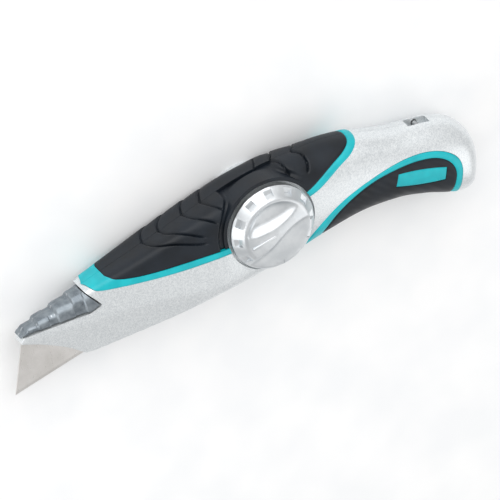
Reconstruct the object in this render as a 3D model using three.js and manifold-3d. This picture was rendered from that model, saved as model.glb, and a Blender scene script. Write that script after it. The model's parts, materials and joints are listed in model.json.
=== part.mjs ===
// Utility knife with two die-cast halves, clamped by a big half-turn knob around a trapezoid blade.
// Millimetres. The knife lies on its left side: +Z is the knob side, +Y the spine, -X the blade.
// The origin is on the knob axis, in the flat outer face of the left half.
import * as THREE from "three";
import { mergeVertices } from "three/addons/utils/BufferGeometryUtils.js";
import Module from "manifold-3d";

const wasm = await Module();
wasm.setup();

// ---- driving dimensions ---------------------------------------------------------------------
const HALF = 11.8; // thickness of each half, from the parting plane to its flat outer face
const NOSE = 104.5; // length from the knob axis to the nose
const GAP = 0.3; // clearance between two pieces that touch
const RUN = 0.35; // clearance around a piece that turns or slides
const SKIN = 1.6; // depth that a soft skin is let into a shell
const PROUD = 0.35; // height of a soft skin above the shell around it
const WALL = 1.7; // metal left between a skin and the cavity behind it

const KNOB_R = 17.4;
const KNOB_RIM = 2; // height of the upright part of its rim
const KNOB_HEIGHT = 6.7;
const KNOB_LEAN = 3.8; // how far the rim leans in, from its foot to the edge of the top face
const NOTCHES = 12;
const NOTCH_W = 3.4;
const NOTCH_IN = 3.2; // how far a notch reaches in from the rim
const NOTCH_PHASE = -2.5; // degrees, so that the pointer stands on a land between two notches
const POINTER_TILT = 12; // degrees between the bar on the knob and the X axis

const SEAT_DEPTH = 1; // below the flat outer face of the right half
const SEAT_Z = 2 * HALF - SEAT_DEPTH;
const SEAT_R = KNOB_R + 0.8; // round recess that the knob stands in
const BOSS_R = 16.5; // flat disc on the outer face of the left half
const COLLAR = 0.6; // width of the soft rim that the top grip keeps around the seat

const LIFT = 6; // rise of the right half in half a turn of the knob
const SPINDLE_R = 4;
const SPINDLE_TOP = 3.2; // how far the spindle reaches into the knob
const PIN_R = 1; // cross pin in the spindle
const SOCKET_FLOOR = 2.5; // metal under the cam socket
const SOCKET_BASE = 2.5; // solid foot that the two screws bite into
const PIN_Z = SOCKET_FLOOR + SOCKET_BASE + 0.4 + PIN_R; // of the cross pin when the knife is locked
const SOCKET_WALL = 2.15;
const SOCKET_R = SPINDLE_R + RUN + SOCKET_WALL;
const SOCKET_Z = [SOCKET_FLOOR, PIN_Z + LIFT + 0.8];
const SLOT_STEPS = 18;
const SPRING_WIRE = 1.1;
const SPRING_R = SOCKET_R + 1 + SPRING_WIRE / 2; // mean radius of the coil
const SPRING_Z = [HALF - 5.5, SEAT_Z - 5.5];
const SPRING_TURNS = 4.5;
const RING_T = 0.8; // retaining ring under the floor of the seat
const RING_Z = SPRING_Z[1] - GAP - RING_T;
const RING_GROOVE = 0.9; // depth of its groove in the spindle
const RING_R = SPINDLE_R + 2.2;
const WASHER = { radius: SPINDLE_R + 4, thick: 0.9 };
const HUB_R = SPRING_R + SPRING_WIRE / 2 + 3.4; // solid metal around the spring in both halves
const STOP_R = WASHER.radius + 4.6; // radius of the arc that the stop pin runs in
const STOP_REACH = 1.3; // how far the stop pin stands out of the knob

const BLADE_L = 61;
const BLADE_W = 19;
const BLADE_T = 0.6;
const BLADE_END = 60.5; // degrees between the edge and a slanted end
const BLADE_OUT = 6.6; // how far the point of the blade stands out in front of the nose
const BLADE_TIP = [-NOSE - BLADE_OUT, -30.3];
const BLADE_TILT = 9.7; // degrees between the edge and the X axis
const NOTCH_PITCH = 16; // between the two notches in the back of a blade
const SPARES = 3;
const SPARE_AT = [53.5, -3.3]; // middle of the stack of spare blades
const SPARE_TILT = -10;

// The lines of the body are drawn for these two sizes and stretched to NOSE and HALF.
const DRAWN = { nose: 104.5, half: 11.8 };
const ahead = (x) => (x < 0 ? (x * NOSE) / DRAWN.nose : x);
const deep = (z) => (z * HALF) / DRAWN.half;
const drawn = (points) => points.map(([x, ...rest]) => [ahead(x), ...rest]);

// Outline of the body at the parting plane: heights of the spine and the belly along X.
const SPINE = drawn([[-104.5, -7.6], [-102, -4.2], [-96, -1.2], [-86, 1.6], [-75.4, 3.5], [-57, 7.2],
  [-40, 11], [-22, 15], [-5, 18.2], [10, 19.6], [26, 19.2], [41, 16.9], [59, 11.2], [74, 8.4], [82, 5.6],
  [87, 1], [89.6, -4], [90.8, -9]]);
const BELLY = drawn([[-104.5, -8.9], [-97.6, -12.1], [-91.9, -15.5], [-86.3, -19.4], [-82, -23.4], [-80, -25],
  [-77.6, -25.2], [-60, -24.2], [-4, -20.4], [11, -19.4], [24, -17.4], [40, -15.9], [54.6, -17.2],
  [66, -20.6], [76, -25], [82.5, -27.2], [86, -26.4], [88.4, -21], [90, -15.5], [90.8, -10.5]]);
// Half of the thickness along X, wide at the knob and thin at the nose.
const WIDTH = drawn([[-104.5, 3.3], [-100, 4.1], [-90, 5.1], [-80, 6.1], [-70, 7.4], [-57, 8.8], [-44, 9.9],
  [-30, 10.8], [-18, 11.4], [16, 11.4], [46, 11], [76, 10.8], [84, 10], [87.4, 8.4], [89.6, 5.6], [90.8, 2]]);
// Squareness of the section at the spine and at the belly: 2 is an ellipse, 8 is nearly a box.
const SPINE_SQUARE = drawn([[-105, 7], [-45, 7], [-20, 5], [8, 3.6], [28, 2.3], [91, 2.2]]);
const BELLY_SQUARE = drawn([[-105, 5], [-45, 6], [-8, 5], [14, 2.6], [91, 2.2]]);
// Three points of the flat lower flank of the nose, the last value of each off the parting plane.
const FLANK = drawn([[-92, -8.6, 4.9], [-17, -18.5, 11.9], [-60, -24.5, 4.4]]);
const THIN = 0.2; // least half-size of a section that has been shrunk away at an end
const SIDES = 20;
const STATIONS = [-104.5, -102.5, -97.6, -91.9, -86.3, -82, -80, -77.4, -68, -57, -44, -31, -18, -5, 8, 20,
  31, 42, 54, 65, 75, 82, 86, 88.6, 90.2, 90.8].map(ahead);

// Edges of the soft parts in side view. Each runs from front to rear.
const TOP_TRIM = drawn([[-76.2, 12], [-75.5, 3.6], [-73.4, 2.6], [-65.2, 0.8], [-58.5, -0.3], [-47, -2.1],
  [-35, -3.4], [-23, -4.1], [-17, -4.2]]);
const TOP_TRIM_REAR = [[17.4, 4.6], [23, 6.2], [32.2, 10.6], [38.8, 13], [43.2, 15.8], [44.8, 19], [45, 26]];
const TOP_GRIP = drawn([[-67.6, 13], [-66.8, 5.4], [-64.5, 4.1], [-59.9, 3], [-54.7, 1.9], [-46.3, 0.7],
  [-34.4, -0.4], [-22.4, -1.4], [-17, -1.7]]);
const TOP_GRIP_REAR = [[16.6, 7], [21, 8.6], [29.8, 12.6], [36.6, 15], [40.4, 17], [41.8, 20], [42, 26]];
const PALM_TRIM = [[10.6, -28], [11.4, -19], [14.6, -14.6], [17.9, -11.5], [23.4, -7.5], [30.2, -3.9],
  [36.9, -1.6], [43.5, 0], [50, 1.2], [56.3, 1.7], [62.4, 1.5], [68.5, 0.4], [74.4, -2], [78.6, -5.4],
  [80.7, -9], [81.1, -13], [80.3, -18], [79.2, -24], [78.6, -34]];
const PALM_GRIP = [[20.4, -26], [20.9, -17], [22.6, -13.2], [28, -8.2], [36.5, -3.9], [45.4, -1.4],
  [54, -0.7], [62.1, -1], [69.6, -2.7], [74.6, -5.6], [77.4, -9.4], [78.2, -13.6], [77.4, -18.4],
  [76.3, -24], [75.7, -34]];
const BADGE = { at: [63.9, -8.6], size: [20, 5.4], tilt: -17 };

// Stepped top of the nose cap, its slanted rear end, and the foot that it stands on the shell with.
const CAP_STEPS = drawn([[-104.4, -8], [-102.6, -4.6], [-100.6, -3], [-97.3, -2.5], [-96.7, -1.3],
  [-89.2, -0.6], [-88.6, 0.5], [-82.2, 1], [-81.6, 2.2]]);
const CAP_REAR = drawn([[-77.4, 3], [-74.1, -1.2], [-72.2, -3.9]]);
const CAP_FOOT = drawn([[-82, -4.9], [-97, -7.1], [-103.6, -7.9]]);

// ---- solids ---------------------------------------------------------------------------------
function solid(geometry) {
  const bare = geometry.index ? geometry : geometry.clone();
  bare.deleteAttribute("normal");
  bare.deleteAttribute("uv");
  const merged = mergeVertices(bare, 1e-4);
  const vertProperties = new Float32Array(merged.attributes.position.array);
  const triVerts = new Uint32Array(merged.index.array);
  return new wasm.Manifold(new wasm.Mesh({ numProp: 3, vertProperties, triVerts }));
}

function geometryOf(manifold) {
  const { vertProperties, triVerts } = manifold.getMesh();
  const geometry = new THREE.BufferGeometry();
  geometry.setAttribute("position", new THREE.BufferAttribute(vertProperties, 3));
  geometry.setIndex(new THREE.BufferAttribute(triVerts, 1));
  return geometry;
}

const vector = ([x, y]) => new THREE.Vector2(x, y);
const radians = THREE.MathUtils.degToRad;
const joined = (solids) => solids.reduce((sum, one) => sum.add(one));

// Value at x of a line drawn straight from one [x, value] point to the next.
function along(points, x) {
  const last = points.length - 1;
  if (x <= points[0][0]) return points[0][1];
  if (x >= points[last][0]) return points[last][1];
  const i = points.findIndex(([px]) => px > x) - 1;
  const [x0, y0] = points[i];
  const [x1, y1] = points[i + 1];
  return THREE.MathUtils.mapLinear(x, x0, x1, y0, y1);
}

const settled = (value) => (Math.abs(value) < 1e-6 ? 0 : value);

function plate(shape, z0, z1, steps = 6) {
  const depth = z1 - z0;
  const geometry = new THREE.ExtrudeGeometry(shape, { depth, bevelEnabled: false, curveSegments: steps });
  return solid(geometry.translate(0, 0, z0));
}

function disc(radius, z0, z1, [x, y] = [0, 0], sides = 24) {
  const geometry = new THREE.CylinderGeometry(radius, radius, z1 - z0, sides);
  return solid(geometry.rotateX(Math.PI / 2).translate(x, y, (z0 + z1) / 2));
}

function ring(outer, inner, z0, z1, at = [0, 0], sides = 24) {
  return disc(outer, z0, z1, at, sides).subtract(disc(inner, z0 - 1, z1 + 1, at, sides));
}

function block([x0, x1], [y0, y1], [z0, z1]) {
  const geometry = new THREE.BoxGeometry(x1 - x0, y1 - y0, z1 - z0);
  return solid(geometry.translate((x0 + x1) / 2, (y0 + y1) / 2, (z0 + z1) / 2));
}

// Everything in front of the plane through three points, on the side that its normal points to.
function beyond(a, b, c) {
  const [p, q, r] = [a, b, c].map((v) => new THREE.Vector3(...v));
  const u = q.clone().sub(p).normalize();
  const w = u.clone().cross(r.clone().sub(p)).normalize();
  const v = w.clone().cross(u);
  const placed = new THREE.Matrix4().makeBasis(u, v, w).setPosition(p);
  return solid(new THREE.BoxGeometry(500, 500, 60).translate(0, 0, 30).applyMatrix4(placed));
}

// ---- the body -------------------------------------------------------------------------------
// A closed drum is laid along X and each ring of it is drawn out to the section at its station.
function bodySolid(grow) {
  const last = STATIONS.length - 1;
  const geometry = new THREE.CylinderGeometry(1, 1, last, SIDES, last);
  const point = geometry.attributes.position;
  const middle = (STATIONS[0] + STATIONS[last]) / 2;
  const stretch = 1 + grow / (STATIONS[last] - middle);
  for (let i = 0; i < point.count; i += 1) {
    const station = Math.round(last / 2 - point.getY(i));
    const x = STATIONS[station];
    const [spine, belly] = [SPINE, BELLY].map((line) => along(line, x));
    const width = deep(along(WIDTH, x));
    const across = settled(-point.getX(i));
    const up = settled(point.getZ(i));
    const square = 2 / along(up > 0 ? SPINE_SQUARE : BELLY_SQUARE, x);
    const z = Math.sign(across) * Math.abs(across) ** square * Math.max(width + grow, THIN);
    const y = Math.sign(up) * Math.abs(up) ** square * Math.max((spine - belly) / 2 + grow, THIN);
    point.setXYZ(i, middle + (x - middle) * stretch, (spine + belly) / 2 + y, HALF + z);
  }
  return solid(geometry);
}

const SIDE = { left: -1, right: 1 };
const wholeHalf = {
  left: block([-2 * NOSE, 130], [-60, 60], [-20, HALF - GAP / 2]),
  right: block([-2 * NOSE, 130], [-60, 60], [HALF + GAP / 2, 60]),
};
const mirrored = (z, side) => HALF + SIDE[side] * z;

// What lies outside the flat flank that turns in towards the belly.
function flank(side) {
  const corners = FLANK.map(([x, y, off]) => [x, y, mirrored(deep(off), side)]);
  if (side === "right") corners.reverse();
  return beyond(...corners);
}

const raw = { proud: bodySolid(PROUD), flush: bodySolid(0), bed: bodySolid(-SKIN) };
raw.cut = bodySolid(-SKIN - GAP);
raw.cavity = bodySolid(-SKIN - GAP - WALL);

// Solid on one side of an open edge line: above it for the top parts, below it for the palm parts.
function edged(lines, away, offset) {
  const edge = [];
  for (const line of lines) {
    const curve = new THREE.SplineCurve(line.map(vector));
    const count = Math.round(line.length * 1.5);
    for (let i = 0; i <= count; i += 1) {
      const tangent = curve.getTangentAt(i / count);
      const normal = new THREE.Vector2(-tangent.y, tangent.x).multiplyScalar(-away * offset);
      edge.push(curve.getPointAt(i / count).add(normal));
    }
  }
  return plate(new THREE.Shape(edge), -20, 60);
}
const topZone = (offset) => edged([TOP_TRIM, TOP_TRIM_REAR], 1, offset);
const gripZone = (offset) => edged([TOP_GRIP, TOP_GRIP_REAR], 1, offset);
const palmZone = (offset) => edged([PALM_TRIM], -1, offset);
const palmGripZone = (offset) => edged([PALM_GRIP], -1, offset);

const skin = raw.proud.subtract(raw.bed);
const seatClear = disc(SEAT_R + GAP, HALF, 60, [0, 0], 36).add(disc(BOSS_R + GAP, -20, HALF, [0, 0], 36));
const collar = ring(SEAT_R + GAP + COLLAR, SEAT_R, HALF + 2, SEAT_Z + 0.7, [0, 0], 36).subtract(raw.bed);

function badgeZone(offset) {
  const [w, h] = BADGE.size.map((size) => size / 2 + offset);
  const shape = new THREE.Shape();
  shape.moveTo(-w, -h * 0.8);
  shape.quadraticCurveTo(0, -h * 1.25, w, -h * 0.8);
  shape.lineTo(w * 0.98, h * 0.8);
  shape.quadraticCurveTo(0, h * 1.25, -w * 0.98, h * 0.8);
  return plate(shape, -20, 60, 5).rotate([0, 0, BADGE.tilt]).translate([...BADGE.at, 0]);
}

const topRing = topZone(0).subtract(gripZone(GAP));
const zones = {
  top_trim_front: topRing.intersect(block([-2 * NOSE, 0], [-60, 60], [-20, 60])),
  top_trim_rear: topRing.intersect(block([0, 130], [-60, 60], [-20, 60])),
  top_grip: gripZone(0),
  palm_trim: palmZone(0).subtract(palmGripZone(GAP)),
  palm_grip: palmGripZone(0).subtract(badgeZone(GAP)),
  badge: badgeZone(0),
};
const letIn = topZone(GAP).subtract(seatClear).add(palmZone(GAP)).subtract(raw.cut);

function softPart(name, side) {
  const base = name === "top_grip" && side === "right" ? skin.add(collar) : skin;
  return base.intersect(zones[name]).intersect(wholeHalf[side]).subtract(seatClear);
}

// ---- blades ---------------------------------------------------------------------------------
function bladeShape(offset = 0) {
  const lean = BLADE_W / Math.tan(radians(BLADE_END));
  const shape = new THREE.Shape();
  const middle = BLADE_L / 2;
  const corner = offset * 1.7;
  shape.moveTo(-corner, -offset);
  shape.lineTo(BLADE_L + corner, -offset);
  shape.lineTo(BLADE_L - lean + corner / 2, BLADE_W + offset);
  if (offset === 0) {
    for (const x of [middle + NOTCH_PITCH / 2, middle - NOTCH_PITCH / 2]) {
      shape.lineTo(x + 1.6, BLADE_W);
      shape.lineTo(x + 1.6, BLADE_W - 1.2);
      shape.absarc(x, BLADE_W - 1.2, 1.6, 0, -Math.PI, true);
      shape.lineTo(x - 1.6, BLADE_W);
    }
    const hole = new THREE.Path();
    hole.absarc(middle, BLADE_W * 0.55, 3, 0, 2 * Math.PI, false);
    shape.holes.push(hole);
  }
  shape.lineTo(lean - corner / 2, BLADE_W + offset);
  return shape;
}

// A blade with both sides of its edge ground to a long bevel.
function bladeSolid() {
  const grind = 1.3;
  const bevels = [-1, 1].map((face) => {
    const corners = [[0, 0, face * 0.02], [BLADE_L, 0, face * 0.02], [0, grind, face * (BLADE_T / 2)]];
    if (face < 0) corners.reverse();
    return beyond(...corners);
  });
  return plate(bladeShape(), -BLADE_T / 2, BLADE_T / 2, 5).subtract(bevels[0]).subtract(bevels[1]);
}
const placeBlade = (one) => one.rotate([0, 0, BLADE_TILT]).translate([...BLADE_TIP, HALF]);
function placeSpare(one, level) {
  const centred = one.translate([-BLADE_L / 2, -BLADE_W / 2, 0]).rotate([0, 0, SPARE_TILT]);
  return centred.translate([...SPARE_AT, HALF + (level - 1) * (BLADE_T + GAP)]);
}
function onBlade(x, y) {
  const turned = new THREE.Vector2(x, y).rotateAround(new THREE.Vector2(), radians(BLADE_TILT));
  return [BLADE_TIP[0] + turned.x, BLADE_TIP[1] + turned.y];
}

const LOCATOR = { radius: 1.2, below: 3.5, above: 2.2 }; // reach below and above the parting plane
const locators = [-1, 1].map((k) => onBlade(BLADE_L / 2 + (k * NOTCH_PITCH) / 2, BLADE_W - 1.2));
const MAGNET = { at: onBlade(42, 9), radius: 3, depth: 2, sunk: 0.7 };
const PAD = { at: onBlade(34, 10), size: [10, 5], z: [HALF + BLADE_T / 2 + GAP, HALF + 2.4] };
const DOWELS = [[ahead(-36), 2], [15.5, 11.5]];
const DOWEL = { radius: 1.5, reach: 6 }; // reach on each side of the parting plane
const LANYARD = { at: [70.6, 6.9], radius: 1, reach: 3.6, slot: 9, half: 2.6, below: 1.5 };
const CLIP = { x: [17, 34], y: [-1.5, 4.5], post: 5, sheet: 0.7 };
const CLIP_POST = HALF - 2.2; // top of the post that the clip is screwed to
const CLIP_SCREW = { at: [CLIP.x[0] + 2.2, (CLIP.y[0] + CLIP.y[1]) / 2], radius: 1, head: 1.9, deep: 3 };
const SOCKET_SCREW = { radius: 1, head: 1.9, z: [0.3, 4.2], thick: 0.9 };
const SOCKET_SCREWS = [[-3.2, 0], [3.2, 0]];

// ---- shells ---------------------------------------------------------------------------------
// Outline of the cap, or with a clearance the room that the shells leave it.
function capZone(offset) {
  const rear = CAP_REAR.map(([x, y]) => [x + 1.5 * offset, y]);
  const foot = CAP_FOOT.map(([x, y]) => [x, y - offset]);
  const front = -2 * NOSE;
  const top = offset ? [[front, foot.at(-1)[1]], [front, 40], [rear[0][0], 40]] : CAP_STEPS;
  return plate(new THREE.Shape([...top, ...rear, ...foot].map(vector)), -20, 60);
}

function bore(radius, z0, z1, at) {
  return disc(radius, z0, z1, at, radius > 3 ? 24 : 12);
}

function cavity(side) {
  const open = raw.cavity.subtract(block([-2 * NOSE, ahead(-46)], [-60, 60], [-20, 60]));
  const bosses = DOWELS.map((at) => bore(DOWEL.radius + 2.2, -20, 60, at));
  const held = [...bosses, lanyardBlock, disc(HUB_R, -20, 60)];
  return open.subtract(joined(held)).intersect(wholeHalf[side]);
}

const lanyardBlock = block(
  [LANYARD.at[0] - LANYARD.slot / 2 - 1.2, LANYARD.at[0] + LANYARD.slot / 2 + 1.2],
  [LANYARD.at[1] - LANYARD.below - 0.8, 20],
  [-20, 60],
);
const lanyardSlot = block(
  [LANYARD.at[0] - LANYARD.slot / 2, LANYARD.at[0] + LANYARD.slot / 2],
  [LANYARD.at[1] - LANYARD.below, 20],
  [HALF - LANYARD.half, HALF + LANYARD.half],
);
const bladeSeat = placeBlade(plate(bladeShape(GAP), -BLADE_T / 2 - GAP, BLADE_T / 2 + GAP));

function shellBlank(side) {
  const cut = letIn.add(capZone(GAP)).add(flank(side)).add(lanyardSlot).add(bladeSeat);
  return raw.flush.intersect(wholeHalf[side]).subtract(cut);
}

function leftShell() {
  const under = HALF - BLADE_T * 1.5 - 2 * GAP;
  const spareRibs = [36, 64].map((x) => block([x, x + 2], [-12, 6], [0, under - 0.4]));
  const post = block([CLIP.x[0], CLIP.x[0] + CLIP.post + 1], CLIP.y, [0, CLIP_POST]);
  const blank = shellBlank("left").add(disc(BOSS_R, 0, HALF / 2, [0, 0], 36));
  const filled = blank.subtract(cavity("left"));
  const inner = joined([...spareRibs, post]).intersect(raw.cut);
  const holes = [
    bore(SOCKET_R + GAP, SOCKET_Z[0] - GAP, 60, [0, 0]),
    bore(SPRING_R + SPRING_WIRE / 2 + RUN, SPRING_Z[0] - GAP, 60, [0, 0]),
    bore(MAGNET.radius + GAP, HALF - MAGNET.sunk - MAGNET.depth - GAP, 60, MAGNET.at),
    bore(LANYARD.radius + GAP, HALF - LANYARD.reach - GAP, 60, LANYARD.at),
    bore(CLIP_SCREW.radius, CLIP_POST - CLIP_SCREW.deep - GAP, 60, CLIP_SCREW.at),
    ...locators.map((at) => bore(LOCATOR.radius + GAP, HALF - LOCATOR.below - GAP, 60, at)),
    ...DOWELS.map((at) => bore(DOWEL.radius + GAP, HALF - DOWEL.reach - GAP, 60, at)),
    ...SOCKET_SCREWS.map((at) => screw(SOCKET_SCREW, at, GAP, -1, 5)),
  ];
  return filled.add(inner).subtract(joined(holes)).subtract(block([-2 * NOSE, 130], [-60, 60], [-20, 0]));
}

// Half-round groove that lets the stop pin run from +Y, where the knife is locked, round to -Y.
function stopGroove() {
  const width = PIN_R + RUN;
  const groove = new THREE.Shape();
  groove.absarc(0, 0, STOP_R + width, Math.PI / 2, 1.5 * Math.PI);
  groove.absarc(0, -STOP_R, width, -Math.PI / 2, Math.PI / 2);
  groove.absarc(0, 0, STOP_R - width, 1.5 * Math.PI, Math.PI / 2, true);
  groove.absarc(0, STOP_R, width, -Math.PI / 2, Math.PI / 2);
  return plate(groove, SEAT_Z - STOP_REACH - GAP, SEAT_Z + 1, 8);
}

function rightShell() {
  const hub = disc(SEAT_R, HALF + 2, SEAT_Z, [0, 0], 36);
  const blank = shellBlank("right").subtract(disc(SEAT_R, SEAT_Z, 60, [0, 0], 36));
  const top = block([-2 * NOSE, 130], [-60, 60], [2 * HALF, 60]);
  const holes = [
    bore(SPRING_R + SPRING_WIRE / 2 + RUN, 0, SPRING_Z[1] + GAP, [0, 0]),
    bore(SPINDLE_R + RUN, 0, 60, [0, 0]),
    bore(WASHER.radius + GAP, SEAT_Z - WASHER.thick - GAP, 60, [0, 0]),
    bore(LANYARD.radius + RUN, 0, HALF + LANYARD.reach + RUN, LANYARD.at),
    ...locators.map((at) => bore(LOCATOR.radius + RUN, 0, HALF + LOCATOR.above + RUN, at)),
    ...DOWELS.map((at) => bore(DOWEL.radius + RUN, 0, HALF + DOWEL.reach + RUN, at)),
    padSolid(GAP),
    stopGroove(),
  ];
  return blank.add(hub).subtract(top).subtract(cavity("right")).subtract(joined(holes));
}

function padSolid(offset) {
  const [w, h] = PAD.size.map((size) => size / 2 + offset);
  const pad = block([-w, w], [-h, h], [PAD.z[0] - offset, PAD.z[1] + offset]);
  return pad.rotate([0, 0, BLADE_TILT]).translate([...PAD.at, 0]);
}

function noseCap(side) {
  return raw.flush.intersect(capZone(0)).intersect(wholeHalf[side]).subtract(bladeSeat);
}

// ---- knob and lock --------------------------------------------------------------------------
function knobSolid() {
  const face = [KNOB_R - KNOB_LEAN, KNOB_HEIGHT - 1];
  const bevel = [face[0] - 2, KNOB_HEIGHT - 0.3];
  const profile = [[0, 0], [KNOB_R, 0], [KNOB_R, KNOB_RIM], face, bevel, [0, KNOB_HEIGHT]];
  const turned = new THREE.LatheGeometry(profile.map(vector), 36).rotateX(Math.PI / 2);
  const rim = Array.from({ length: NOTCHES }, (_, i) => {
    const across = [-NOTCH_W / 2, NOTCH_W / 2];
    const notch = block([KNOB_R - NOTCH_IN, KNOB_R + 2], across, [KNOB_RIM + 0.3, KNOB_HEIGHT - 1.5]);
    return notch.rotate([0, 0, (i * 360) / NOTCHES + NOTCH_PHASE]);
  });
  const scoops = [[0.3, 7.9, 11.6, 5.6, 7.1], [2.6, -8.2, 13, 5.8, 6.3]].map(([x, y, rx, ry, z]) => {
    const bowl = new THREE.SphereGeometry(1, 16, 8).scale(rx, ry, KNOB_HEIGHT / 2);
    return solid(bowl).translate([x, y, z]).rotate([0, 0, POINTER_TILT]);
  });
  const cut = [...rim, ...scoops, bore(SPINDLE_R + GAP, -1, SPINDLE_TOP, [0, 0])];
  const stop = disc(PIN_R + GAP, -1, SPINDLE_TOP - STOP_REACH, [0, STOP_R], 12);
  return solid(turned).subtract(joined([...cut, stop])).translate([0, 0, SEAT_Z + GAP]);
}

function crossPin(grow, angle, z) {
  const rod = new THREE.CylinderGeometry(PIN_R + grow, PIN_R + grow, 2 * (SOCKET_R - GAP + 2 * grow), 10);
  return solid(rod.rotateZ(Math.PI / 2).rotateZ(angle).translate(0, 0, z));
}

// Tube with two opposite helical slots: half a turn of the cross pin carries it up by LIFT.
function camSocket() {
  const inside = bore(SPINDLE_R + RUN, SOCKET_Z[0] + SOCKET_BASE, 60, [0, 0]);
  const tube = disc(SOCKET_R, ...SOCKET_Z).subtract(inside);
  const steps = Array.from({ length: SLOT_STEPS + 1 }, (_, i) => i / SLOT_STEPS);
  const slots = steps.map((t) => crossPin(RUN, Math.PI * t, PIN_Z + LIFT * t));
  const mouth = crossPin(RUN, Math.PI, PIN_Z + LIFT + 1.4);
  const { radius, z } = SOCKET_SCREW;
  const threads = SOCKET_SCREWS.map((at) => bore(radius + GAP, 0, z[1] + 0.4, at));
  return tube.subtract(joined([...slots, mouth, ...threads]));
}

function spindleSolid() {
  const groove = ring(SPINDLE_R + 1, SPINDLE_R - RING_GROOVE, RING_Z - GAP, RING_Z + RING_T + GAP);
  const rod = disc(SPINDLE_R, SOCKET_Z[0] + SOCKET_BASE + GAP, SEAT_Z + SPINDLE_TOP);
  return rod.subtract(groove).subtract(crossPin(GAP, 0, PIN_Z));
}

function retainingRing() {
  const opening = block([0, RING_R + 1], [-SPINDLE_R / 2, SPINDLE_R / 2], [RING_Z - 1, RING_Z + 2]);
  return ring(RING_R, SPINDLE_R - RING_GROOVE + GAP, RING_Z, RING_Z + RING_T).subtract(opening);
}

class Helix extends THREE.Curve {
  constructor(radius, z0, z1, turns) {
    super();
    Object.assign(this, { radius, z0, z1, turns });
  }

  getPoint(t) {
    const a = 2 * Math.PI * this.turns * t;
    const z = THREE.MathUtils.lerp(this.z0, this.z1, t);
    return new THREE.Vector3(this.radius * Math.cos(a), this.radius * Math.sin(a), z);
  }
}

function springSolid() {
  const wire = SPRING_WIRE / 2;
  const path = new Helix(SPRING_R, SPRING_Z[0] + wire, SPRING_Z[1] - wire, SPRING_TURNS);
  const section = new THREE.Shape().absarc(0, 0, wire, 0, 2 * Math.PI);
  const steps = SPRING_TURNS * 10;
  const wound = { steps, extrudePath: path, bevelEnabled: false, curveSegments: 3 };
  return solid(new THREE.ExtrudeGeometry(section, wound));
}

// A socket screw seen from below, or with a clearance the hole that it goes through.
function screw({ radius, head, z, thick }, at, offset = 0, low = z[0], high = z[1]) {
  return bore(radius + offset, low, high, at).add(bore(head + offset, low, z[0] + thick + offset, at));
}

// Leaf spring that stands on a post and reaches over the spare blades.
function clipSolid() {
  const [x0, x1] = CLIP.x;
  const foot = CLIP_POST + GAP;
  const over = HALF + BLADE_T * 1.5 + GAP * 2 + 0.2;
  const t = CLIP.sheet;
  const bend = x0 + CLIP.post;
  const outline = [[x0, foot], [bend, foot], [bend + 1, over], [x1, over], [x1, over + t],
    [bend + 0.4, over + t], [bend - 0.6, foot + t], [x0, foot + t]];
  const strip = new THREE.ExtrudeGeometry(new THREE.Shape(outline.map(vector)), {
    depth: CLIP.y[1] - CLIP.y[0],
    bevelEnabled: false,
  });
  const leaf = solid(strip.rotateX(Math.PI / 2).translate(0, CLIP.y[1], 0));
  return leaf.subtract(bore(CLIP_SCREW.radius + GAP, 0, 60, CLIP_SCREW.at));
}

// ---- the assembly ---------------------------------------------------------------------------
const paint = (color, roughness, metalness) =>
  new THREE.MeshStandardMaterial({ color, roughness, metalness });
const silver = paint(0xcdd2d5, 0.38, 0.75);
const gunmetal = paint(0x7d858c, 0.35, 0.85);
const teal = paint(0x00c8cd, 0.45, 0);
const slate = paint(0x3a424b, 0.6, 0);
const satin = paint(0xd5d9dc, 0.28, 0.9);
const steel = paint(0xccc9c6, 0.3, 1);
const zinc = paint(0xb8babb, 0.4, 1);
const rubber = paint(0x25282c, 0.8, 0);

const knife = new THREE.Group();
function place(name, manifold, material) {
  const mesh = new THREE.Mesh(geometryOf(manifold), material);
  mesh.name = name;
  knife.add(mesh);
}

place("left_shell", leftShell(), silver);
place("right_shell", rightShell(), silver);
for (const side of ["left", "right"]) {
  place(`${side}_nose_cap`, noseCap(side), gunmetal);
  for (const name of Object.keys(zones)) {
    place(`${side}_${name}`, softPart(name, side), name.endsWith("grip") ? slate : teal);
  }
}

place("blade", placeBlade(bladeSolid()), steel);
locators.forEach((at, i) => {
  place(`blade_pin_${i + 1}`, bore(LOCATOR.radius, HALF - LOCATOR.below, HALF + LOCATOR.above, at), zinc);
});
const magnetTop = HALF - MAGNET.sunk;
place("blade_magnet", disc(MAGNET.radius, magnetTop - MAGNET.depth, magnetTop, MAGNET.at), zinc);
place("blade_pad", padSolid(0), rubber);
for (let level = 0; level < SPARES; level += 1) {
  place(`spare_blade_${level + 1}`, placeSpare(bladeSolid(), level), steel);
}
place("spare_clip", clipSolid(), zinc);
const clipTop = CLIP_POST + GAP + CLIP.sheet + GAP;
const clipHead = bore(CLIP_SCREW.head, clipTop, clipTop + 1.1, CLIP_SCREW.at);
const clipShank = bore(CLIP_SCREW.radius - GAP, CLIP_POST - CLIP_SCREW.deep, clipTop + 0.5, CLIP_SCREW.at);
place("spare_clip_screw", clipHead.add(clipShank), zinc);
DOWELS.forEach((at, i) => {
  place(`dowel_pin_${i + 1}`, bore(DOWEL.radius, HALF - DOWEL.reach, HALF + DOWEL.reach, at), zinc);
});
place("lanyard_pin", bore(LANYARD.radius, HALF - LANYARD.reach, HALF + LANYARD.reach, LANYARD.at), zinc);

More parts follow.
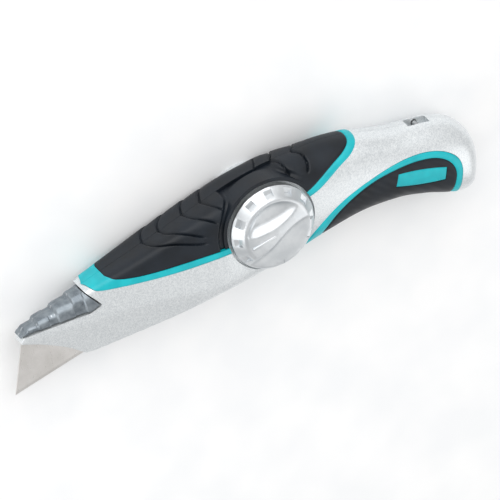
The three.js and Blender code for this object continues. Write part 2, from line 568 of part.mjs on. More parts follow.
place("cam_socket", camSocket(), zinc);
SOCKET_SCREWS.forEach((at, i) => place(`socket_screw_${i + 1}`, screw(SOCKET_SCREW, at), zinc));
place("lift_spring", springSolid(), zinc);
place("thrust_washer", ring(WASHER.radius, SPINDLE_R + RUN, SEAT_Z - WASHER.thick, SEAT_Z), zinc);
place("knob", knobSolid(), satin);
place("knob_spindle", spindleSolid(), zinc);
place("cross_pin", crossPin(0, 0, PIN_Z), zinc);
place("retaining_ring", retainingRing(), zinc);
const stopTop = SEAT_Z + SPINDLE_TOP - STOP_REACH;
place("stop_pin", bore(PIN_R, SEAT_Z - STOP_REACH, stopTop, [0, STOP_R]), zinc);

export default knife;
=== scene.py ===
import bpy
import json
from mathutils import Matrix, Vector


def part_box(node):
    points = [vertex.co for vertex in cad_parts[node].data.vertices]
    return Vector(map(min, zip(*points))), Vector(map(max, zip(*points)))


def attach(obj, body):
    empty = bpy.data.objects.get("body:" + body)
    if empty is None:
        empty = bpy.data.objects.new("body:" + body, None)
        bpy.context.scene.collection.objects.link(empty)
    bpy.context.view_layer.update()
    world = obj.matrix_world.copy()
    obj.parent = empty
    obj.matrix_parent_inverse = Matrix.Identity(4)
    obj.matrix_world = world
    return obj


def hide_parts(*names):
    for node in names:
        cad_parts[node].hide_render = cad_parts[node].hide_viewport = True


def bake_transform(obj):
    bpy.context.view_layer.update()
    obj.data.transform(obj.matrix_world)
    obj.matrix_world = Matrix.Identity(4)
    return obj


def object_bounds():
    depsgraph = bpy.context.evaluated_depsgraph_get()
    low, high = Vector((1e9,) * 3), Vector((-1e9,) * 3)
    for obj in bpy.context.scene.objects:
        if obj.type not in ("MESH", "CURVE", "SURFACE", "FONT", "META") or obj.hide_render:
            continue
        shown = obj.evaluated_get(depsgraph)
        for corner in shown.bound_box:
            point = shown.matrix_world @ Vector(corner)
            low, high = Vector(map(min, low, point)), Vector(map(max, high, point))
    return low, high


bl_info = {
    "name": "Die-cast Utility Knife",
    "version": (1, 0, 0),
    "blender": (4, 5, 0),
    "location": "View3D > Sidebar > Utility Knife",
    "description": "Builds the visible pieces of a two-shell utility knife with a half-turn locking knob",
    "category": "Object",
}

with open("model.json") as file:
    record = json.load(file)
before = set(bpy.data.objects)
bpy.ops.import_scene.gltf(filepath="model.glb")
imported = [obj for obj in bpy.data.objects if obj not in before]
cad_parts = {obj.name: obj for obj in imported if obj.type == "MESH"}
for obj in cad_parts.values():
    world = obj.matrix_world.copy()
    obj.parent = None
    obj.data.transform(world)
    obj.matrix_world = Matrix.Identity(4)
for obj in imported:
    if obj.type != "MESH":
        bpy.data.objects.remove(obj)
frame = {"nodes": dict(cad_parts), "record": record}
cad_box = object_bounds()

import json
import math

import bpy
import numpy as np
from mathutils import Matrix, Vector

MM = 0.001
SIDES = {"left": -1, "right": 1}
FAR = 30  # reach of a cutter beyond the parting plane
FIT = 0.3  # clearance around a piece that sits in a bore
RUN = 0.35  # clearance around a piece that turns or slides
SKIN_DEPTH = 1.5  # of a soft part below the body's surface
BED_DEPTH = 1.75  # of the recess that it lies in
CAVITY_DEPTH = 3.7  # of the hollow's wall below the body's surface
RELIEF_FLOOR = -0.7  # what lies deeper than this isn't moved by a relief
HUB_R = 12  # solid metal around the lock
BOSS_WALL = 2.2  # metal around a dowel
BLADE_LENGTH, BLADE_WIDTH = 61, 19
BLADE_TILT = math.radians(9.7)  # between the edge and the X axis
BLADE_END = math.radians(60.5)  # between the edge and a slanted end
NOTCHES, NOTCH_PHASE = 12, -2.5  # in the knob's rim, and the turn of the first, in degrees
BAR_TILT = math.radians(12)  # of the knob's bar
SPRING_WIRE, SPRING_TURNS = 1.1, 4.5
HATCH = 3.0  # pitch of the palm grip's hatching
WAVE_PERIOD = 0.314  # length of one wave of Blender's wave texture at scale 1


def box_mm(node):
    """Lowest and highest corners of a frame node, in millimetres."""
    low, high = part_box(node)
    return np.array(low) / MM, np.array(high) / MM


def pin_mm(node):
    """Radius, foot, top and place in side view of a round frame node that stands along Z."""
    low, high = box_mm(node)
    return float(high[1] - low[1]) / 2, low[2], high[2], ((low + high) / 2)[:2]


# ---- places read from the frame, in millimetres ------------------------------------------------
BLADE_LOW, BLADE_HIGH = box_mm("blade")
PARTING = float(BLADE_LOW[2] + BLADE_HIGH[2]) / 2
THROUGH = (PARTING - FAR, PARTING + FAR)  # heights of a cutter that goes right through
KNOB_LOW, KNOB_HIGH = box_mm("knob")
KNOB_R = float(KNOB_HIGH[0] - KNOB_LOW[0]) / 2
KNOB_FOOT = float(KNOB_LOW[2])
SEAT_Z = float(box_mm("thrust_washer")[1][2])
SEAT_R = KNOB_R + 0.8
BOSS_R = 16.5
SPRING_LOW, SPRING_HIGH = box_mm("lift_spring")
LANYARD_LOW, LANYARD_HIGH = box_mm("lanyard_pin")

# ---- the body's lines, as the frame was drawn, in millimetres ----------------------------------
SPINE = [(-104.5, -7.6), (-102, -4.2), (-96, -1.2), (-86, 1.6), (-75.4, 3.5), (-57, 7.2), (-40, 11),
         (-22, 15), (-5, 18.2), (10, 19.6), (26, 19.2), (41, 16.9), (59, 11.2), (74, 8.4), (82, 5.6),
         (87, 1), (89.6, -4), (90.8, -9)]
BELLY = [(-104.5, -8.9), (-97.6, -12.1), (-91.9, -15.5), (-86.3, -19.4), (-82, -23.4), (-80, -25),
         (-77.6, -25.2), (-60, -24.2), (-4, -20.4), (11, -19.4), (24, -17.4), (40, -15.9), (54.6, -17.2),
         (66, -20.6), (76, -25), (82.5, -27.2), (86, -26.4), (88.4, -21), (90, -15.5), (90.8, -10.5)]
WIDTH = [(-104.5, 3.3), (-100, 4.1), (-90, 5.1), (-80, 6.1), (-70, 7.4), (-57, 8.8), (-44, 9.9),
         (-30, 10.8), (-18, 11.4), (16, 11.4), (46, 11), (76, 10.8), (84, 10), (87.4, 8.4), (89.6, 5.6),
         (90.8, 2)]
SPINE_SQUARE = [(-105, 7), (-45, 7), (-20, 5), (8, 3.6), (28, 2.3), (91, 2.2)]
BELLY_SQUARE = [(-105, 5), (-45, 6), (-8, 5), (14, 2.6), (91, 2.2)]
FLANK = [(-92, -8.6, 4.9), (-17, -18.5, 11.9), (-60, -24.5, 4.4)]

TOP_TRIM = [(-76.2, 12), (-75.5, 3.6), (-73.4, 2.6), (-65.2, 0.8), (-58.5, -0.3), (-47, -2.1),
            (-35, -3.4), (-23, -4.1), (-17, -4.2)]
TOP_TRIM_REAR = [(17.4, 4.6), (23, 6.2), (32.2, 10.6), (38.8, 13), (43.2, 15.8), (44.8, 19), (45, 26)]
TOP_GRIP = [(-67.6, 13), (-66.8, 5.4), (-64.5, 4.1), (-59.9, 3), (-54.7, 1.9), (-46.3, 0.7),
            (-34.4, -0.4), (-22.4, -1.4), (-17, -1.7)]
TOP_GRIP_REAR = [(16.6, 7), (21, 8.6), (29.8, 12.6), (36.6, 15), (40.4, 17), (41.8, 20), (42, 26)]
PALM_TRIM = [(10.6, -28), (11.4, -19), (14.6, -14.6), (17.9, -11.5), (23.4, -7.5), (30.2, -3.9),
             (36.9, -1.6), (43.5, 0), (50, 1.2), (56.3, 1.7), (62.4, 1.5), (68.5, 0.4), (74.4, -2),
             (78.6, -5.4), (80.7, -9), (81.1, -13), (80.3, -18), (79.2, -24), (78.6, -34)]
PALM_GRIP = [(20.4, -26), (20.9, -17), (22.6, -13.2), (28, -8.2), (36.5, -3.9), (45.4, -1.4),
             (54, -0.7), (62.1, -1), (69.6, -2.7), (74.6, -5.6), (77.4, -9.4), (78.2, -13.6),
             (77.4, -18.4), (76.3, -24), (75.7, -34)]
BADGE_AT = (63.9, -8.6)
BADGE_SIZE = (21.2, 6.8)
BADGE_TILT = -17
CAP_TOP = [(-104.4, -8), (-103.6, -6.3), (-102.4, -4.2), (-100.6, -3), (-97.6, -2.9), (-96.9, -1.7),
           (-94.8, -1.2), (-91.4, -1), (-89.4, -0.9), (-88.7, 0.1), (-86, 0.7), (-84, 0.8), (-82.2, 0.9),
           (-81.5, 2.1), (-78.2, 2.5), (-75, 3.2)]
CAP_FOOT = [(-104.4, -6.2), (-103.3, -5.3), (-96.3, -5.1), (-90.3, -5.2), (-84.3, -5.2), (-76.3, -5.3),
            (-72.2, -3.9)]
CAP_REAR = [(-77.3, 3.2), (-74, -1.2), (-72.2, -3.9)]
CAP_LIPS = [-96.8, -88.6, -77.3]
CAP_VALLEYS = [-101, -92.1, -82]
# Rounded front ends of the top trim and grip: distance along the knife, and half-width less height.
TRIM_TIP = [(-75.2, -3.6), (-74.7, -2.6), (-74.2, -0.6), (-73.6, 1.8), (-72.4, 4), (-69.8, 5.7), (-66, 7),
            (-61, 8.5)]
GRIP_TIP = [(-67.9, -5.4), (-67.4, -4), (-66.9, -1.6), (-66, 0.8), (-64.4, 3.2), (-61, 5.2)]

# Ribs of the top grip: distance along the knife, and distance over the skin from the spine seam.
RIBS = [
    [(-48.2, 0), (-46.6, 5), (-43.7, 8.7), (-37.4, 13.6), (-30.7, 18.9), (-24.8, 22.6)],
    [(-40.8, 0), (-39.6, 4), (-37.4, 6.8), (-32, 13.1), (-24.9, 20.1)],
    [(-30.1, 0), (-28.6, 5), (-25.6, 9.7), (-19.7, 17.5)],
    [(-21.9, 0), (-19.6, 6.4), (-16.7, 12.1)],
    [(3, 0), (4.4, 3), (5.9, 8.8)],
    [(10, 0), (12, 3.8), (12.8, 10.2), (13.1, 13.4)],
    [(19, 0), (21.4, 4), (21.5, 10.7), (19.8, 16.2)],
]


def chosen():
    """The sizes and colours as they are set."""
    return bpy.context.scene.knife_sizes


# ---- lines and sections ------------------------------------------------------------------------
def smooth_line(points):
    """A function of x through the points, smooth and with no overshoot between them."""
    xs, ys = np.array(points, float).T
    step = np.diff(xs)
    slope = np.diff(ys) / step
    lean = np.zeros_like(xs)
    lean[0], lean[-1] = slope[0], slope[-1]
    for i in range(1, len(xs) - 1):
        if slope[i - 1] * slope[i] > 0:
            a = 2 * step[i] + step[i - 1]
            b = step[i] + 2 * step[i - 1]
            lean[i] = (a + b) / (a / slope[i - 1] + b / slope[i])

    def value(x):
        x = np.clip(x, xs[0], xs[-1])
        i = np.clip(np.searchsorted(xs, x, side="right") - 1, 0, len(step) - 1)
        t = (x - xs[i]) / step[i]
        start = (1 + 2 * t) * (1 - t) ** 2 * ys[i] + t * (1 - t) ** 2 * step[i] * lean[i]
        end = t * t * (3 - 2 * t) * ys[i + 1] + t * t * (t - 1) * step[i] * lean[i + 1]
        return start + end

    return value


spine_at, belly_at, width_at = (smooth_line(line) for line in (SPINE, BELLY, WIDTH))
spine_square, belly_square = smooth_line(SPINE_SQUARE), smooth_line(BELLY_SQUARE)


def ramp(low, high, x):
    """0 below low, 1 above high, and a soft S between them."""
    t = np.clip((x - low) / (high - low), 0, 1)
    return t * t * (3 - 2 * t)


def lesser(a, b, blend):
    """The lesser of two heights, rounded where they cross."""
    return 0.5 * (a + b - np.sqrt((a - b) ** 2 + blend * blend))


def flank_at(x, y):
    """Half-width left by the flat lower flank of the nose."""
    p, q, r = (np.array(v, float) for v in FLANK)
    n = np.cross(q - p, r - p)
    return p[2] - (n[0] * (x - p[0]) + n[1] * (y - p[1])) / n[2]


def section(x, grow):
    """The half section at x, from the belly seam over the side to the spine seam, as (y, w)."""
    half = (spine_at(x) - belly_at(x)) / 2 + grow
    middle = (spine_at(x) + belly_at(x)) / 2
    half = max(float(half), 0.2)
    width = max(float(width_at(x) + grow), 0.2)
    q = np.linspace(-1, 1, 281)
    turn = np.sign(q) * q * q * math.pi / 2
    power = np.where(q > 0, 2 / spine_square(x), 2 / belly_square(x))
    y = middle + np.sign(q) * np.abs(np.sin(turn)) ** power * half
    w = np.clip(np.cos(turn), 0, 1) ** power * width
    return np.stack([y, lesser(w, flank_at(x, y) + grow, 0.3) + 0.02], axis=1)


def arc(x, grow, low, high, count, seam):
    """Evenly spaced points of the section between two heights. None means the seam at that end."""
    line = section(x, grow)
    length = np.concatenate([[0], np.cumsum(np.hypot(*np.diff(line, axis=0).T))])
    start = 0 if low is None else np.interp(low, line[:, 0], length)
    end = length[-1] if high is None else np.interp(high, line[:, 0], length)
    s = np.linspace(start, end, count)
    y, w = (np.interp(s, length, line[:, k]) for k in (0, 1))
    return np.stack([np.full(count, x), y, np.maximum(w, seam)], axis=1)


def to_side(points, side):
    """Section points (x, y, half-width) as places in the row frame, in millimetres."""
    placed = np.array(points, float)
    placed[..., 2] = PARTING + SIDES[side] * placed[..., 2]
    return placed


def curve_through(points, per_span=6):
    """A smooth polyline through the points."""
    p = np.array(points, float)
    p = np.vstack([2 * p[0] - p[1], p, 2 * p[-1] - p[-2]])
    line = []
    for i in range(1, len(p) - 2):
        for t in np.arange(per_span) / per_span:
            a = 2 * p[i] + (p[i + 1] - p[i - 1]) * t
            b = (2 * p[i - 1] - 5 * p[i] + 4 * p[i + 1] - p[i + 2]) * t * t
            c = (3 * p[i] - p[i - 1] - 3 * p[i + 1] + p[i + 2]) * t ** 3
            line.append((a + b + c) / 2)
    return np.array(line + [p[-2]])


def shifted(line, distance):
    """The polyline moved sideways, to its left when distance is positive."""
    step = np.gradient(line, axis=0)
    step /= np.linalg.norm(step, axis=1)[:, None]
    return line + distance * np.stack([-step[:, 1], step[:, 0]], axis=1)


def distance_to(points, line):
    """Signed distance of each (a, b) point from a polyline, and how far along it the nearest place is."""
    best = np.full(len(points), 1e9)
    side = np.zeros(len(points))
    where = np.zeros(len(points))
    for i in range(len(line) - 1):
        a, d = line[i], line[i + 1] - line[i]
        t = np.clip(((points - a) @ d) / (d @ d), 0, 1)
        gap = points - (a + t[:, None] * d)
        dist = np.hypot(*gap.T)
        near = dist < best
        best[near] = dist[near]
        side[near] = np.sign(d[0] * gap[near, 1] - d[1] * gap[near, 0])
        where[near] = (i + t[near]) / (len(line) - 1)
    return best, side, where


# ---- mesh steps --------------------------------------------------------------------------------
def only(*objects):
    """Selects these objects and nothing else."""
    bpy.ops.object.select_all(action="DESELECT")
    for one in objects:
        one.select_set(True)
    bpy.context.view_layer.objects.active = objects[0]


def edited(obj, *steps):
    """Runs edit-mode steps on the whole mesh."""
    only(obj)
    bpy.ops.object.mode_set(mode="EDIT")
    bpy.ops.mesh.select_mode(type="VERT")
    bpy.ops.mesh.select_all(action="SELECT")
    for step in steps:
        step()
    bpy.ops.object.mode_set(mode="OBJECT")
    return obj


def outward():
    bpy.ops.mesh.normals_make_consistent(inside=False)


def added(name, add, **settings):
    """Adds a primitive with nothing else selected, and names it."""
    bpy.ops.object.select_all(action="DESELECT")
    add(**settings)
    obj = bpy.context.active_object
    obj.name = name
    obj.data.name = name
    return obj


def points_of(obj):
    flat = np.empty(len(obj.data.vertices) * 3)
    obj.data.vertices.foreach_get("co", flat)
    return flat.reshape(-1, 3) / MM


def set_points(obj, points):
    obj.data.vertices.foreach_set("co", (np.asarray(points, float) * MM).ravel())
    obj.data.update()


def sheet(name, rows):
    """A grid with its points at these places, row by row."""
    down, across = rows.shape[:2]
    obj = added(name, bpy.ops.mesh.primitive_grid_add, x_subdivisions=across - 1, y_subdivisions=down - 1)
    set_points(obj, rows.reshape(-1, 3))
    return obj


def tube(name, rings, side=None):
    """A closed solid lofted through rings of points, its two ends filled."""
    rings = np.array(rings, float)
    closed = np.concatenate([rings, rings[:, :1]], axis=1)
    obj = sheet(name, closed if side is None else to_side(closed, side))

    def close():
        bpy.ops.mesh.remove_doubles(threshold=0.004 * MM)
        bpy.ops.mesh.select_all(action="DESELECT")
        bpy.ops.mesh.select_non_manifold(extend=False, use_wire=False, use_multi_face=False,
                                         use_non_contiguous=False, use_verts=False)
        bpy.ops.mesh.fill_holes(sides=0)
        bpy.ops.mesh.select_all(action="SELECT")
        outward()

    return edited(obj, close)


def prism(name, outline, low, high):
    """A straight solid with this outline in side view, from one height to another."""
    outline = np.array(outline, float)
    obj = added(name, bpy.ops.mesh.primitive_circle_add, vertices=len(outline), fill_type="NGON")
    set_points(obj, np.column_stack([outline, np.full(len(outline), float(low))]))
    rise = (0, 0, (high - low) * MM)
    return edited(
        obj,
        lambda: bpy.ops.mesh.extrude_region_move(TRANSFORM_OT_translate={"value": rise}),
        lambda: bpy.ops.mesh.select_all(action="SELECT"),
        outward,
    )


def rod(name, radius, low, high, at=(0, 0), sides=48):
    """A round bar along Z."""
    middle = (at[0] * MM, at[1] * MM, (low + high) / 2 * MM)
    return settled(added(name, bpy.ops.mesh.primitive_cone_add, vertices=sides, radius1=radius * MM,
                         radius2=radius * MM, depth=(high - low) * MM, location=middle))


def slab(name, low, high):
    """A box between two corners."""
    low, high = np.array(low, float), np.array(high, float)
    return settled(added(name, bpy.ops.mesh.primitive_cube_add, size=1, location=(low + high) / 2 * MM,
                         scale=(high - low) * MM))


def settled(obj):
    """Puts the object's place, turn and size into its mesh."""
    only(obj)
    bpy.ops.object.transform_apply(location=True, rotation=True, scale=True)
    return obj


def modified(obj, kind, **settings):
    only(obj)
    bpy.ops.object.modifier_add(type=kind)
    modifier = obj.modifiers[-1]
    for key, value in settings.items():
        setattr(modifier, key, value)
    bpy.ops.object.modifier_apply(modifier=modifier.name)
    return obj


def combined(obj, other, operation):
    """Joins, cuts or intersects one solid with another, which is used up."""
    modified(obj, "BOOLEAN", object=other, operation=operation, solver="EXACT")
    bpy.data.objects.remove(other, do_unlink=True)
    return obj


def cut(obj, *others):
    for other in others:
        combined(obj, other, "DIFFERENCE")
    return obj


def turned(obj, degrees):
    """Turns a mesh about the knob's axis."""
    obj.data.transform(Matrix.Rotation(math.radians(degrees), 4, "Z"))
    return obj


def finished(obj, body, slot, nodes, degrees=32, look=None):
    """Gives a piece its finish and its body, if it rides on one, and hides the frame nodes that it stands
    for.
    """
    only(obj)
    bpy.ops.object.shade_smooth_by_angle(angle=math.radians(degrees))
    obj.data.materials.clear()
    obj.data.materials.append(material_for(look or slot))
    if body:
        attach(obj, body)
    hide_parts(*nodes)
    return obj


def embossed(obj, rise_at):
    """Moves the outer skin of a piece in or out by rise_at(x, y, w), in millimetres."""
    p = points_of(obj)
    x, y = p[:, 0], p[:, 1]
    w = np.abs(p[:, 2] - PARTING)
    sign = np.sign(p[:, 2] - PARTING)
    middle = (spine_at(x) + belly_at(x)) / 2
    half = (spine_at(x) - belly_at(x)) / 2
    width = width_at(x)
    n = np.where(y > middle, spine_square(x), belly_square(x))
    inner_half, inner_width = half + RELIEF_FLOOR, width + RELIEF_FLOOR
    outside = ((np.abs(y - middle) / inner_half) ** n + (w / inner_width) ** n) > 1
    rise = np.where(outside, rise_at(x, y, w), 0)
    p[:, 1] = middle + (y - middle) * (1 + rise / half)
    p[:, 2] = PARTING + sign * np.maximum(w * (1 + rise / width), np.minimum(w, 0.15))
    set_points(obj, p)
    return obj


# ---- materials ---------------------------------------------------------------------------------
def linear(colour_hex):
    """An sRGB hex colour as linear red, green, blue and alpha."""
    parts = [int(colour_hex[i:i + 2], 16) / 255 for i in (1, 3, 5)]
    return [c / 12.92 if c <= 0.04045 else ((c + 0.055) / 1.055) ** 2.4 for c in parts] + [1]


def linked(tree, made, **links):
    """Links sockets, or the first outputs of nodes, to a node's inputs."""
    for key, source in links.items():
        socket = source if isinstance(source, bpy.types.NodeSocket) else source.outputs[0]
        tree.links.new(socket, made.inputs[key.replace("_", " ")])
    return made


def node(tree, kind, settings=(), **links):
    """Adds one node, sets its settings, colour stops and input values, and links its inputs."""
    made = tree.nodes.new(kind)
    for key, value in dict(settings).items():
        if key == "stops":
            for stop, (place, tone) in zip(made.color_ramp.elements, value):
                stop.position, stop.color = place, linear(tone) if isinstance(tone, str) else tone
        elif hasattr(made, key):
            setattr(made, key, value)
        else:
            made.inputs[key].default_value = value
    return linked(tree, made, **links)


def shader(name, **values):
    """A new material with a Principled shader: the material, its tree, its shader and Object coordinates."""
    material = bpy.data.materials.new(name)
    material.use_nodes = True
    tree = material.node_tree
    principled = tree.nodes["Principled BSDF"]
    for key, value in values.items():
        principled.inputs[key.replace("_", " ")].default_value = value
    return material, tree, principled, node(tree, "ShaderNodeTexCoord").outputs["Object"]


def grain(size_mm, detail=2.0):
    """Noise settings for features about size_mm across."""
    return {"Scale": 1 / (size_mm * MM), "Detail": detail}


def tones(low, high, start=0.35, end=0.65):
    """Colour stops from one tone to another."""
    return {"stops": [(start, low), (end, high)]}


def span(low, high, start=0.3, end=0.7):
    """Settings that map start and end to low and high."""
    return {"From Min": start, "From Max": end, "To Min": low, "To Max": high}


def relief(depth_mm, strength):
    """Bump settings for a pattern that is depth_mm deep."""
    return {"Strength": strength, "Distance": depth_mm * MM}


def silver_paint():
    """Silver sparkle lacquer on a zinc casting: pale, softly metallic, with fine bright flakes.

    The flakes are drawn 0.36 mm wide, coarser than real ones, so that they still show.
    """
    material, tree, principled, place = shader("silver_sparkle_lacquer", Metallic=0.55, Roughness=0.36,
                                               Coat_Weight=0.35, Coat_Roughness=0.18)
    flakes = node(tree, "ShaderNodeTexVoronoi", {"Scale": 1 / (0.36 * MM)}, Vector=place).outputs["Color"]
    colour = node(tree, "ShaderNodeValToRGB", tones("#CCD1D4", "#EEF1F2", 0.0, 1.0), Fac=flakes)
    rough = node(tree, "ShaderNodeMapRange", span(0.28, 0.46, 0, 1), Value=flakes)
    pits = node(tree, "ShaderNodeTexNoise", grain(0.35, 3), Vector=place)
    bump = node(tree, "ShaderNodeBump", relief(0.02, 0.5), Height=pits)
    linked(tree, principled, Base_Color=colour, Roughness=rough, Normal=bump)
    return material


def cloudy(name, cloud, low, high, rough, pits, depth, **values):
    """A finish whose tone and gloss drift in soft clouds, over fine pits."""
    material, tree, principled, place = shader(name, **values)
    clouds = node(tree, "ShaderNodeTexNoise", grain(*cloud), Vector=place)
    colour = node(tree, "ShaderNodeValToRGB", tones(low, high), Fac=clouds)
    gloss = node(tree, "ShaderNodeMapRange", span(*rough), Value=clouds)
    fine = node(tree, "ShaderNodeTexNoise", grain(*pits), Vector=place)
    bump = node(tree, "ShaderNodeBump", relief(*depth), Height=fine)
    linked(tree, principled, Base_Color=colour, Roughness=gloss, Normal=bump)
    return material


def gunmetal_paint():
    """Gunmetal satin enamel on the cast nose cap: mid grey, with a painted highlight that lightens its sharp
    edges.
    """
    material = cloudy("gunmetal_satin_enamel", (2.5, 4), "#767E85", "#929AA0", (0.27, 0.42), (0.3, 3),
                      (0.02, 0.5), Metallic=0.8, Roughness=0.34)
    tree = material.node_tree
    principled = tree.nodes["Principled BSDF"]
    # Painted highlight: the cap's sharp convex edges are lightened to pale grey, as where light catches them.
    edge = node(tree, "ShaderNodeNewGeometry").outputs["Pointiness"]
    edge_highlight = node(tree, "ShaderNodeMapRange", span(0, 0.7, 0.52, 0.62), Value=edge)
    highlighted_edges = node(tree, "ShaderNodeMix", {"data_type": "RGBA"}, Factor=edge_highlight)
    tree.links.new(principled.inputs["Base Color"].links[0].from_socket, highlighted_edges.inputs[6])
    highlighted_edges.inputs[7].default_value = linear("#C9CED2")
    linked(tree, principled, Base_Color=highlighted_edges.outputs[2])
    return material


def teal_plastic():
    """Moulded teal polypropylene: satin, a little uneven in gloss, with a fine spark-eroded grain."""
    sizes = chosen()
    return cloudy("moulded_teal_polypropylene", (6, 3), sizes.trim_shade, sizes.trim_colour, (0.34, 0.46),
                  (0.25, 2), (0.015, 0.4), Roughness=0.4, IOR=1.49)


def slate_rubber(name="moulded_slate_tpe", hatch_mm=None):
    """Moulded TPE grip: dark slate, satin to matt, with a fine leathery grain, and a hatched palm.

    The hatching is diagonal and hatch_mm from line to line.
    """
    sizes = chosen()
    material, tree, principled, place = shader(name, Roughness=0.5, IOR=1.42)
    cloud = node(tree, "ShaderNodeTexNoise", grain(8, 4), Vector=place)
    colour = node(tree, "ShaderNodeValToRGB", tones(sizes.grip_shade, sizes.grip_colour), Fac=cloud)
    rough = node(tree, "ShaderNodeMapRange", span(0.4, 0.52), Value=cloud)
    pores = node(tree, "ShaderNodeTexVoronoi", {"Scale": 1 / (0.4 * MM)}, Vector=place)
    bump = node(tree, "ShaderNodeBump", relief(0.03, 0.35), Height=pores)
    if hatch_mm:
        turn = node(tree, "ShaderNodeMapping", {"Rotation": (0, 0, math.radians(-42))}, Vector=place)
        lines = node(tree, "ShaderNodeTexWave", {"Scale": WAVE_PERIOD / (hatch_mm * MM)}, Vector=turn)
        bump = node(tree, "ShaderNodeBump", relief(0.12, 0.6), Height=lines.outputs["Fac"], Normal=bump)
    linked(tree, principled, Base_Color=colour, Roughness=rough, Normal=bump)
    return material


def satin_chrome():
    """Satin chrome on the knob casting: bright and softly blurred, a little uneven from hands."""
    return cloudy("satin_chrome_casting", (5, 4), "#D2D6D9", "#E2E5E7", (0.36, 0.46), (0.5, 3),
                  (0.01, 0.4), Metallic=1.0, Roughness=0.24)


def blade_steel():
    """Ground carbon steel: warm grey, with a fine grain across the blade and oily cloudiness."""
    material, tree, principled, place = shader("ground_carbon_steel", Metallic=1.0,
                                               Roughness=0.33)
    ground = {"Scale": (1, 0.06, 1), "Rotation": (0, 0, math.radians(80))}
    across = node(tree, "ShaderNodeMapping", ground, Vector=place)
    lines = node(tree, "ShaderNodeTexNoise", grain(0.25, 3), Vector=across)
    cloud = node(tree, "ShaderNodeTexNoise", grain(7, 3), Vector=place)
    colour = node(tree, "ShaderNodeValToRGB", tones("#D8D5D1", "#E4E1DE"), Fac=cloud)
    rough = node(tree, "ShaderNodeMapRange", span(0.26, 0.42), Value=lines)
    bump = node(tree, "ShaderNodeBump", relief(0.006, 0.5), Height=lines)
    linked(tree, principled, Base_Color=colour, Roughness=rough, Normal=bump)
    return material


def plated_steel(name, low, high, roughness):
    """Plated or plain hardware metal: small turned and formed pieces with a fine, even grain."""
    return cloudy(name, (1.6, 4), low, high, (roughness - 0.06, roughness + 0.08), (0.2, 2), (0.008, 0.4),
                  Metallic=1.0, Roughness=roughness)


def black_rubber():
    """Soft black rubber: very matt and slightly dusty."""
    material, tree, principled, place = shader("soft_black_rubber", Roughness=0.8, IOR=1.52)
    dust = node(tree, "ShaderNodeTexNoise", grain(1.2, 4), Vector=place)
    colour = node(tree, "ShaderNodeValToRGB", tones("#1B1D20", "#2A2D31"), Fac=dust)
    bump = node(tree, "ShaderNodeBump", relief(0.03, 0.4), Height=dust)
    linked(tree, principled, Base_Color=colour, Normal=bump)
    return material


MATERIALS = {}


def material_for(slot):
    makers = {
        "silver_paint": silver_paint,
        "gunmetal_paint": gunmetal_paint,
        "teal_plastic": teal_plastic,
        "slate_rubber": slate_rubber,
        "slate_hatched": lambda: slate_rubber("moulded_slate_tpe_hatched", HATCH),
        "satin_metal": satin_chrome,
        "blade_steel": blade_steel,
        "black_rubber": black_rubber,
        "magnet_nickel": lambda: plated_steel("nickel_plated_magnet", "#BDB8AE", "#CFCAC1", 0.22),
        "spring_steel": lambda: plated_steel("oiled_spring_steel", "#6E7072", "#8B8E90", 0.34),
        "zinc_casting": lambda: plated_steel("bare_zinc_casting", "#9B9EA0", "#B4B7B9", 0.48),
        "pin_steel": lambda: plated_steel("zinc_plated_steel", "#A9ABAD", "#C3C5C6", 0.3),
    }
    if slot not in MATERIALS:
        MATERIALS[slot] = makers[slot]()
    return MATERIALS[slot]


# ---- the soft parts ----------------------------------------------------------------------------
def stations(low, high, step):
    return np.linspace(low, high, max(int(round((high - low) / step)), 2) + 1)


def skin(name, side, xs, low, high, rows, top, bed, seam):
    """A closed skin over part of one half, from height top above the body to depth bed below it."""
    rings = []
    for x in xs:
        outer = arc(x, top, low, high, rows, seam)
        inner = arc(x, -bed, low, high, rows // 3, seam)[::-1]
        rings.append(np.vstack([outer, inner]))
    return tube(name, rings, side)


def core(name, side, xs, grow, count, back, seam=0.0):
    """The body of one half grown by this much, closed behind the parting plane."""
    rings = []
    for x in xs:
        line = arc(x, grow, None, None, count, seam)
        behind = np.stack([np.full(2, x), [line[-1, 1], line[0, 1]], [back, back]], axis=1)
        rings.append(np.vstack([line, behind]))
    return tube(name, rings, side)


def zone(*lines):
    return np.vstack(lines)


def rib_relief(x, y, w, depth):
    """Shingle-like ribs: a narrow groove along each, and a slope behind it up to the next one."""
    over = w + (spine_at(x) - y)
    places = np.stack([x, over], axis=1)
    height = np.zeros(len(x))
    for line in RIBS:
        curve = curve_through(line, 5)
        distance, hand, where = distance_to(places, curve)
        behind = distance * -hand * (1 if line[0][0] < 0 else -1)
        fade = 1 - ramp(0.86, 1.0, where)
        groove = np.exp(-((behind - 0.4) / 0.42) ** 2)
        slope = ramp(-0.1, 0.4, behind) * np.exp(-np.maximum(behind, 0) / 2.6)
        height -= fade * depth * (0.62 * groove + 0.38 * slope) * (distance < 6)
    return height


def tip_zone(name, side, tip, grow=0.0):
    """Solid behind a rounded front end that is drawn across the corner of the body."""
    line = shifted(curve_through(tip), grow)
    block = prism(name, [*line, (tip[-1][0] + 2, 60), (150, 60), (150, -90), (line[0, 0], -90)], -90, 90)
    x, across, over = points_of(block).T
    w = (over + across) / 2
    set_points(block, np.stack([x, w - across, PARTING + SIDES[side] * w], axis=1))
    return edited(block, outward)


